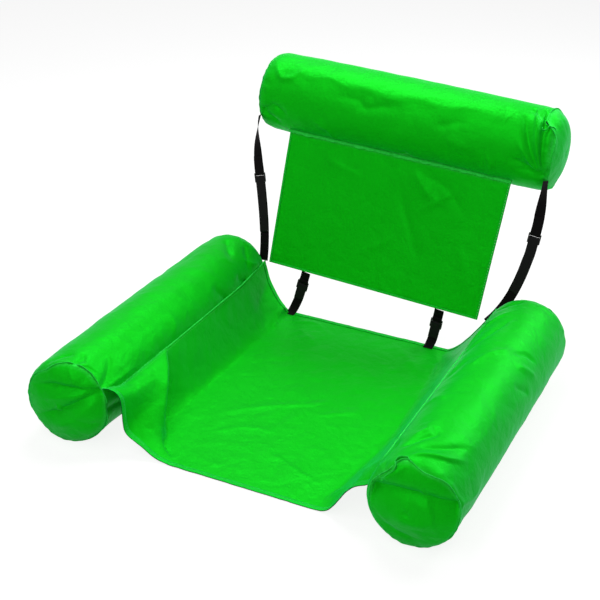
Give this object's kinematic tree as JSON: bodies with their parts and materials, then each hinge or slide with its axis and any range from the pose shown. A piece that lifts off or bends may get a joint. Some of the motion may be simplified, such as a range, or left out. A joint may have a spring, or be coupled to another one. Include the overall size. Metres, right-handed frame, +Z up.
{
  "type": "inflatable pool lounger",
  "caption": "Floating lounge seat: two inflatable arm bolsters joined by a fabric seat, with a leaning back panel under an inflatable headrest bolster and adjustable webbing straps.",
  "frame": {"origin": "on the floor under the flat of the seat, halfway between the two arm bolsters and halfway along them", "axes": "+Y along the arm bolsters towards the backrest, +Z up, +X to the right for someone who faces the front of the lounger"},
  "size_m": [0.9984, 1.0817, 0.6325],
  "materials": {
    "cover_fabric": "bright green coated woven fabric with a soft sheen",
    "webbing": "black woven synthetic webbing",
    "slider_plastic": "black moulded plastic, satin",
    "bladder_film": "clear to milky welded film",
    "valve_vinyl": "soft translucent moulded vinyl"
  },
  "bodies": {
    "seat": {"seat_panel": "cover_fabric", "left_seat_strap_upper": "webbing", "left_seat_strap_lower": "webbing", "right_seat_strap_upper": "webbing", "right_seat_strap_lower": "webbing"},
    "left_arm": {"left_arm_sleeve": "cover_fabric", "left_arm_front_disc": "cover_fabric", "left_arm_rear_disc": "cover_fabric", "left_arm_bladder": "bladder_film", "left_arm_valve_stem": "valve_vinyl"},
    "right_arm": {"right_arm_sleeve": "cover_fabric", "right_arm_front_disc": "cover_fabric", "right_arm_rear_disc": "cover_fabric", "right_arm_bladder": "bladder_film", "right_arm_valve_stem": "valve_vinyl"},
    "backrest": {"back_panel": "cover_fabric", "headrest_sleeve": "cover_fabric", "headrest_left_disc": "cover_fabric", "headrest_right_disc": "cover_fabric", "headrest_bladder": "bladder_film", "headrest_valve_stem": "valve_vinyl", "left_side_strap_upper": "webbing", "left_side_strap_lower": "webbing", "right_side_strap_upper": "webbing", "right_side_strap_lower": "webbing"},
    "left_side_slider": {"left_side_strap_slider": "slider_plastic"},
    "right_side_slider": {"right_side_strap_slider": "slider_plastic"},
    "left_seat_slider": {"left_seat_strap_slider": "slider_plastic"},
    "right_seat_slider": {"right_seat_strap_slider": "slider_plastic"},
    "left_arm_plug": {"left_arm_valve_plug": "valve_vinyl"},
    "right_arm_plug": {"right_arm_valve_plug": "valve_vinyl"},
    "headrest_plug": {"headrest_valve_plug": "valve_vinyl"}
  },
  "joints": [
    {"name": "recline", "type": "hinge", "parent": "seat", "child": "backrest", "pos_m": [-0.018, 0.4, 0.1135], "axis": [0.9989, -0.0209, -0.0419], "range_deg": [-67, 55]},
    {"name": "left_arm_fold", "type": "hinge", "parent": "seat", "child": "left_arm", "pos_m": [-0.30832, 0, 0.12223], "axis": [0, 1, 0], "range_deg": [0, 30]},
    {"name": "right_arm_fold", "type": "hinge", "parent": "seat", "child": "right_arm", "pos_m": [0.31722, 0, 0.14427], "axis": [0, -1, 0], "range_deg": [0, 30]},
    {"name": "left_side_slide", "type": "slide", "parent": "backrest", "child": "left_side_slider", "axis": [-0.2532, 0.2303, 0.9396], "range_m": [0, 0.04], "deforming": ["left_side_strap_upper", "left_side_strap_lower"]},
    {"name": "right_side_slide", "type": "slide", "parent": "backrest", "child": "right_side_slider", "axis": [0.0957, 0.2333, 0.9677], "range_m": [0, 0.04], "deforming": ["right_side_strap_upper", "right_side_strap_lower"]},
    {"name": "left_seat_slide", "type": "slide", "parent": "seat", "child": "left_seat_slider", "axis": [0.2367, 0.0164, 0.9714], "range_m": [0, 0.015], "deforming": ["left_seat_strap_upper", "left_seat_strap_lower"]},
    {"name": "right_seat_slide", "type": "slide", "parent": "seat", "child": "right_seat_slider", "axis": [0.1449, -0.0042, 0.9894], "range_m": [0, 0.015], "deforming": ["right_seat_strap_upper", "right_seat_strap_lower"]},
    {"name": "left_arm_plug_pull", "type": "slide", "parent": "left_arm", "child": "left_arm_plug", "axis": [0, 1, 0], "range_m": [0, 0.012]},
    {"name": "right_arm_plug_pull", "type": "slide", "parent": "right_arm", "child": "right_arm_plug", "axis": [0, 1, 0], "range_m": [0, 0.012]},
    {"name": "headrest_plug_pull", "type": "slide", "parent": "backrest", "child": "headrest_plug", "axis": [-0.9989, 0.0209, 0.0419], "range_m": [0, 0.012]}
  ]
}
